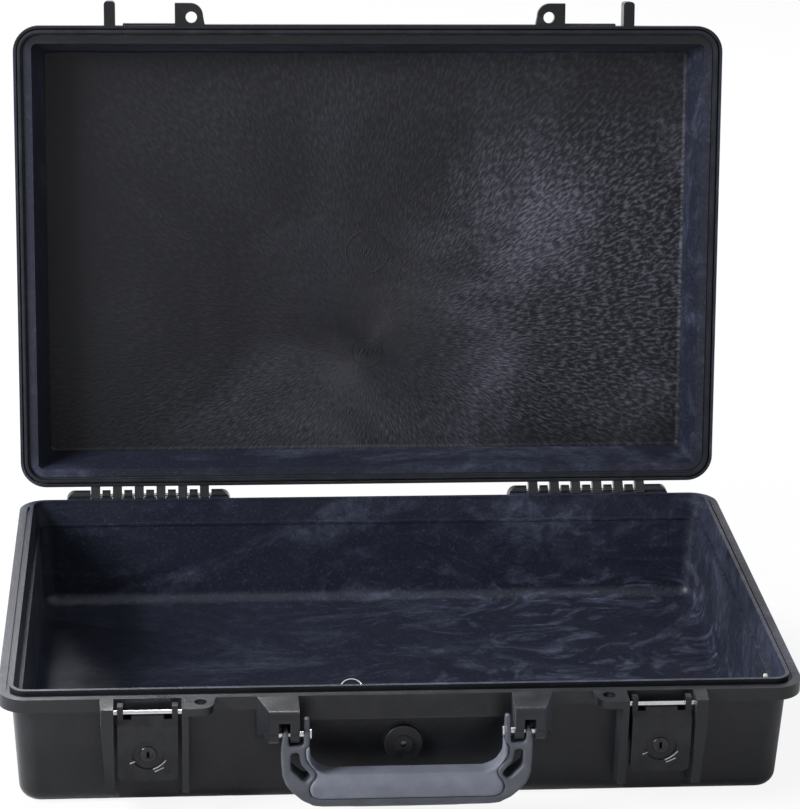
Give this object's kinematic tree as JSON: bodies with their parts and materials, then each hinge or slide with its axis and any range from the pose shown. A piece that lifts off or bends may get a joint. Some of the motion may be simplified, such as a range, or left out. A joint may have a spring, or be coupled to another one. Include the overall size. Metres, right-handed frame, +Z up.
{
  "type": "laptop hard case",
  "caption": "Hinged hard case with a deep tray, shallow gasketed lid, key-lock draw latches, folding carry handle and pressure valve, shown open.",
  "frame": {"origin": "middle of the tray's flat underside", "axes": "+X along the front to the right, +Y from the front to the hinge side, +Z up"},
  "size_m": [0.505, 0.4536, 0.4295],
  "materials": {
    "shell_plastic": "fine moulded texture",
    "lever_plastic": "fine moulded texture",
    "claw_plastic": "smooth moulded",
    "gasket_rubber": "soft matt",
    "seal_rubber": "soft matt",
    "valve_plastic": "satin",
    "membrane": "fine woven",
    "handle_plastic": "satin",
    "grip_rubber": "soft matt",
    "pin_steel": "ground",
    "lock_metal": "dark plated",
    "ring_steel": "bright",
    "key_metal": "bright plated"
  },
  "bodies": {
    "base": {"base_shell": "shell_plastic", "hinge_pin_left": "pin_steel", "hinge_pin_right": "pin_steel", "latch_pin_left": "pin_steel", "latch_pin_right": "pin_steel", "handle_pin_left": "pin_steel", "handle_pin_right": "pin_steel", "valve_housing": "valve_plastic", "valve_membrane": "membrane", "valve_o_ring": "seal_rubber", "valve_nut": "valve_plastic", "nameplate": "shell_plastic"},
    "lid": {"lid_shell": "shell_plastic", "lid_gasket": "gasket_rubber"},
    "handle": {"handle_core": "handle_plastic", "handle_grip": "grip_rubber"},
    "keys": {"keys": "key_metal", "key_ring": "ring_steel"},
    "latch_left": {"latch_lever_left": "lever_plastic", "claw_pin_left": "pin_steel", "lock_barrel_left": "lock_metal"},
    "claw_left": {"latch_claw_left": "claw_plastic"},
    "lock_left": {"lock_plug_left": "lock_metal", "lock_cam_left": "ring_steel", "lock_nut_left": "ring_steel"},
    "latch_right": {"latch_lever_right": "lever_plastic", "claw_pin_right": "pin_steel", "lock_barrel_right": "lock_metal"},
    "claw_right": {"latch_claw_right": "claw_plastic"},
    "lock_right": {"lock_plug_right": "lock_metal", "lock_cam_right": "ring_steel", "lock_nut_right": "ring_steel"}
  },
  "joints": [
    {"name": "lid_hinge", "type": "hinge", "parent": "base", "child": "lid", "pos_m": [0, 0.1725, 0.0783], "axis": [1, 0, 0], "range_deg": [0, 99.1]},
    {"name": "handle_pivot", "type": "hinge", "parent": "base", "child": "handle", "pos_m": [0, -0.1845, 0.0608], "axis": [-1, 0, 0], "range_deg": [-20, 90]},
    {"name": "latch_lever_left_hinge", "type": "hinge", "parent": "base", "child": "latch_left", "pos_m": [-0.1596, -0.174, 0.0725], "axis": [-1, 0, 0], "range_deg": [0, 105]},
    {"name": "claw_left_hinge", "type": "hinge", "parent": "latch_left", "child": "claw_left", "pos_m": [-0.1596, -0.1695, 0.06], "axis": [1, 0, 0], "range_deg": [0, 105]},
    {"name": "lock_left_turn", "type": "hinge", "parent": "latch_left", "child": "lock_left", "pos_m": [-0.1596, -0.1724, 0.0462], "axis": [0, -1, 0], "range_deg": [0, 90]},
    {"name": "latch_lever_right_hinge", "type": "hinge", "parent": "base", "child": "latch_right", "pos_m": [0.1596, -0.174, 0.0725], "axis": [-1, 0, 0], "range_deg": [0, 105]},
    {"name": "claw_right_hinge", "type": "hinge", "parent": "latch_right", "child": "claw_right", "pos_m": [0.1596, -0.1695, 0.06], "axis": [1, 0, 0], "range_deg": [0, 105]},
    {"name": "lock_right_turn", "type": "hinge", "parent": "latch_right", "child": "lock_right", "pos_m": [0.1596, -0.1724, 0.0462], "axis": [0, 1, 0], "range_deg": [0, 90]},
    {"name": "keys_lift", "type": "slide", "parent": "base", "child": "keys", "axis": [0, 0, 1], "range_m": [0, 0.09]}
  ],
  "couplings": [
    {"joint": "claw_left_hinge", "follows": "latch_lever_left_hinge", "ratio": 1},
    {"joint": "claw_right_hinge", "follows": "latch_lever_right_hinge", "ratio": 1}
  ]
}
